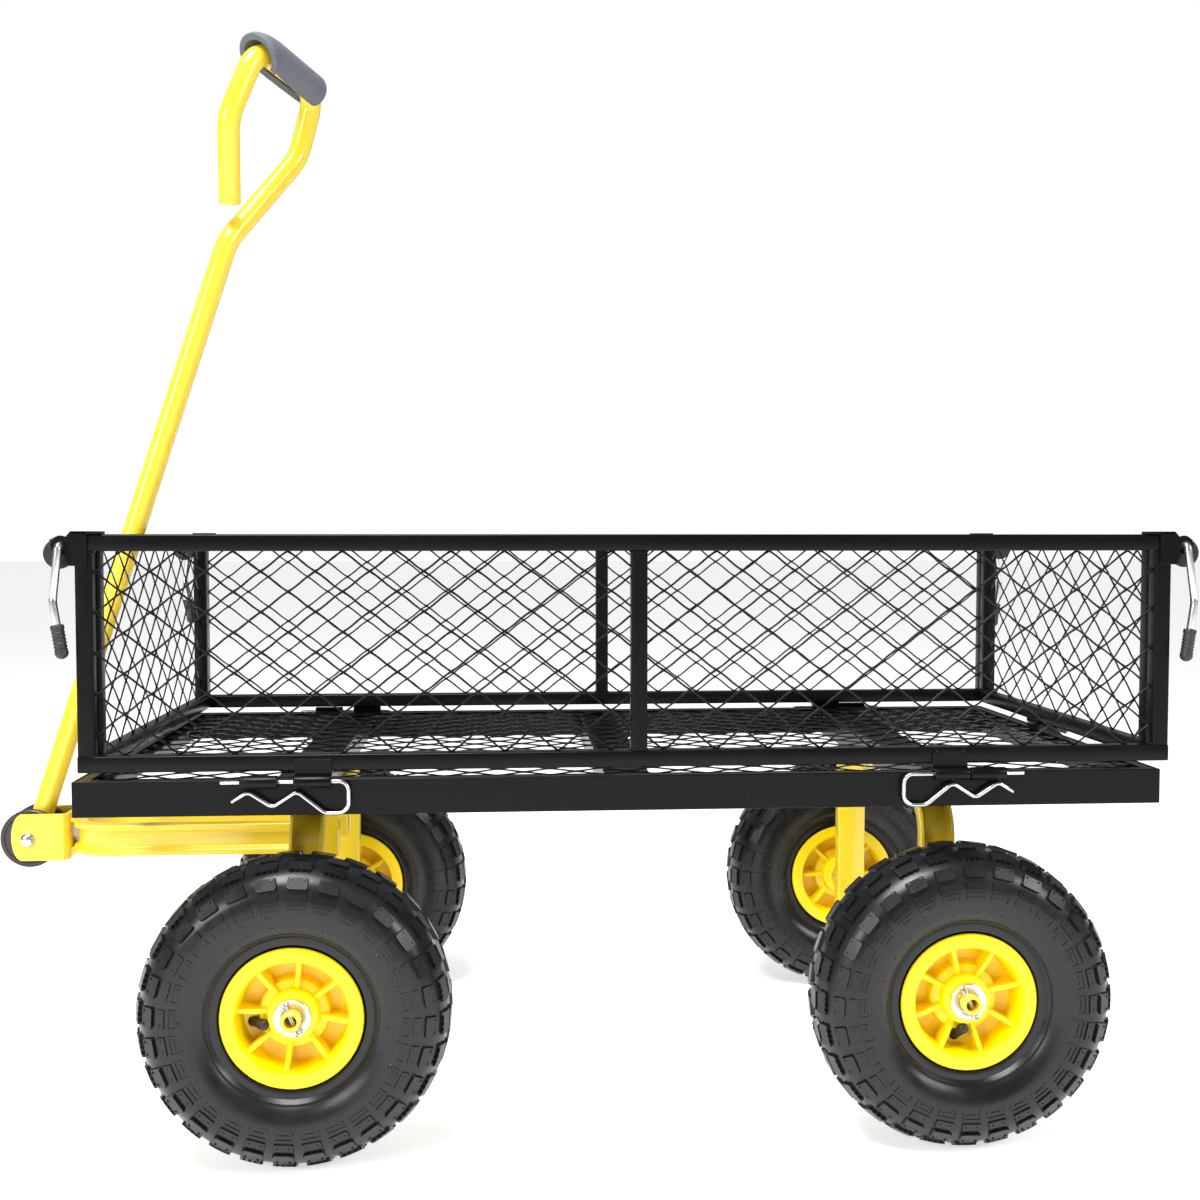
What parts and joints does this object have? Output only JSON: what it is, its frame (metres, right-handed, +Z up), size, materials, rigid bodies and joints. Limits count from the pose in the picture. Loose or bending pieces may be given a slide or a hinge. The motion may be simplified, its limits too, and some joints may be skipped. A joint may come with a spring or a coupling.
{
  "type": "garden cart",
  "caption": "Four-wheeled mesh garden cart with fold-down mesh sides, pneumatic tyres on moulded rims and a steering pull handle with a looped grip.",
  "frame": {"origin": "on the ground under the middle of the whole cart", "axes": "+X towards the rear of the cart, the handle at -X, +Y to the cart's right, +Z up"},
  "size_m": [1.09, 0.522, 1.0065],
  "materials": {
    "black_paint": "semi-gloss",
    "black_mesh": "semi-gloss",
    "yellow_paint": "gloss",
    "yellow_plastic": "satin",
    "zinc": "bright zinc",
    "tyre": "matt",
    "rubber": "matt",
    "disc_plastic": "satin",
    "foam": "matt"
  },
  "bodies": {
    "bed": {"bed_frame": "black_paint", "bed_mesh": "black_mesh", "bed_knuckles": "black_paint", "rear_bracket": "yellow_paint", "rear_axle": "yellow_paint", "rear_keepers": "zinc", "kingpin_mount": "yellow_paint", "kingpin_nut": "zinc", "front_frame": "black_paint", "front_mesh": "black_mesh", "front_knuckle": "black_paint"},
    "steering": {"front_bracket": "yellow_paint", "drawbar": "yellow_paint", "front_axle": "yellow_paint", "front_keepers": "zinc", "hitch_clevis": "yellow_paint", "hitch_bolt": "zinc"},
    "handle": {"hitch_discs": "disc_plastic", "handle_tube": "yellow_paint", "handle_grip": "foam"},
    "left_panel": {"left_frame": "black_paint", "left_mesh": "black_mesh", "left_knuckles": "black_paint", "left_latch_plates": "black_paint"},
    "right_panel": {"right_frame": "black_paint", "right_mesh": "black_mesh", "right_knuckles": "black_paint", "right_latch_plates": "black_paint"},
    "rear_panel": {"rear_frame": "black_paint", "rear_mesh": "black_mesh", "rear_knuckle": "black_paint"},
    "latch_left_front": {"latch_left_front": "zinc", "sleeve_left_front": "rubber"},
    "clip_left_front": {"clip_left_front": "zinc"},
    "latch_left_rear": {"latch_left_rear": "zinc", "sleeve_left_rear": "rubber"},
    "clip_left_rear": {"clip_left_rear": "zinc"},
    "latch_right_front": {"latch_right_front": "zinc", "sleeve_right_front": "rubber"},
    "clip_right_front": {"clip_right_front": "zinc"},
    "latch_right_rear": {"latch_right_rear": "zinc", "sleeve_right_rear": "rubber"},
    "clip_right_rear": {"clip_right_rear": "zinc"},
    "clip_front": {"clip_front": "zinc"},
    "clip_rear": {"clip_rear": "zinc"},
    "wheel_front_left": {"tyre_front_left": "tyre", "rim_front_left": "yellow_plastic", "valve_front_left": "rubber"},
    "wheel_front_right": {"tyre_front_right": "tyre", "rim_front_right": "yellow_plastic", "valve_front_right": "rubber"},
    "wheel_rear_left": {"tyre_rear_left": "tyre", "rim_rear_left": "yellow_plastic", "valve_rear_left": "rubber"},
    "wheel_rear_right": {"tyre_rear_right": "tyre", "rim_rear_right": "yellow_plastic", "valve_rear_right": "rubber"}
  },
  "joints": [
    {"name": "steering_turn", "type": "hinge", "parent": "bed", "child": "steering", "pos_m": [-0.2323, 0, 0.27], "axis": [0, 0, 1], "range_deg": [-9, 9]},
    {"name": "handle_pivot", "type": "hinge", "parent": "steering", "child": "handle", "pos_m": [-0.5173, 0, 0.233], "axis": [0, -1, 0], "range_deg": [0, 118]},
    {"name": "left_panel_fold", "type": "hinge", "parent": "bed", "child": "left_panel", "pos_m": [0, -0.2311, 0.323], "axis": [1, 0, 0], "range_deg": [0, 150]},
    {"name": "right_panel_fold", "type": "hinge", "parent": "bed", "child": "right_panel", "pos_m": [0, 0.2311, 0.323], "axis": [-1, 0, 0], "range_deg": [0, 150]},
    {"name": "rear_panel_fold", "type": "hinge", "parent": "bed", "child": "rear_panel", "pos_m": [0.5253, 0, 0.323], "axis": [0, 1, 0], "range_deg": [0, 178]},
    {"name": "latch_left_front_turn", "type": "hinge", "parent": "left_panel", "child": "latch_left_front", "pos_m": [-0.4178, -0.2254, 0.519], "axis": [0, 1, 0], "range_deg": [0, 100]},
    {"name": "clip_left_front_pull", "type": "slide", "parent": "bed", "child": "clip_left_front", "axis": [1, 0, 0], "range_m": [0, 0.11]},
    {"name": "latch_left_rear_turn", "type": "hinge", "parent": "left_panel", "child": "latch_left_rear", "pos_m": [0.5292, -0.2254, 0.519], "axis": [0, -1, 0], "range_deg": [0, 100]},
    {"name": "clip_left_rear_pull", "type": "slide", "parent": "bed", "child": "clip_left_rear", "axis": [-1, 0, 0], "range_m": [0, 0.11]},
    {"name": "latch_right_front_turn", "type": "hinge", "parent": "right_panel", "child": "latch_right_front", "pos_m": [-0.4178, 0.2254, 0.519], "axis": [0, 1, 0], "range_deg": [0, 100]},
    {"name": "clip_right_front_pull", "type": "slide", "parent": "bed", "child": "clip_right_front", "axis": [1, 0, 0], "range_m": [0, 0.11]},
    {"name": "latch_right_rear_turn", "type": "hinge", "parent": "right_panel", "child": "latch_right_rear", "pos_m": [0.5292, 0.2254, 0.519], "axis": [0, -1, 0], "range_deg": [0, 100]},
    {"name": "clip_right_rear_pull", "type": "slide", "parent": "bed", "child": "clip_right_rear", "axis": [-1, 0, 0], "range_m": [0, 0.11]},
    {"name": "clip_front_pull", "type": "slide", "parent": "bed", "child": "clip_front", "axis": [0, 1, 0], "range_m": [0, 0.11]},
    {"name": "clip_rear_pull", "type": "slide", "parent": "bed", "child": "clip_rear", "axis": [0, 1, 0], "range_m": [0, 0.11]},
    {"name": "wheel_front_left_spin", "type": "hinge", "parent": "steering", "child": "wheel_front_left", "pos_m": [-0.2323, -0.219, 0.13], "axis": [0, 1, 0], "continuous": true},
    {"name": "wheel_front_right_spin", "type": "hinge", "parent": "steering", "child": "wheel_front_right", "pos_m": [-0.2323, 0.219, 0.13], "axis": [0, 1, 0], "continuous": true},
    {"name": "wheel_rear_left_spin", "type": "hinge", "parent": "bed", "child": "wheel_rear_left", "pos_m": [0.3367, -0.219, 0.13], "axis": [0, 1, 0], "continuous": true},
    {"name": "wheel_rear_right_spin", "type": "hinge", "parent": "bed", "child": "wheel_rear_right", "pos_m": [0.3367, 0.219, 0.13], "axis": [0, 1, 0], "continuous": true}
  ]
}
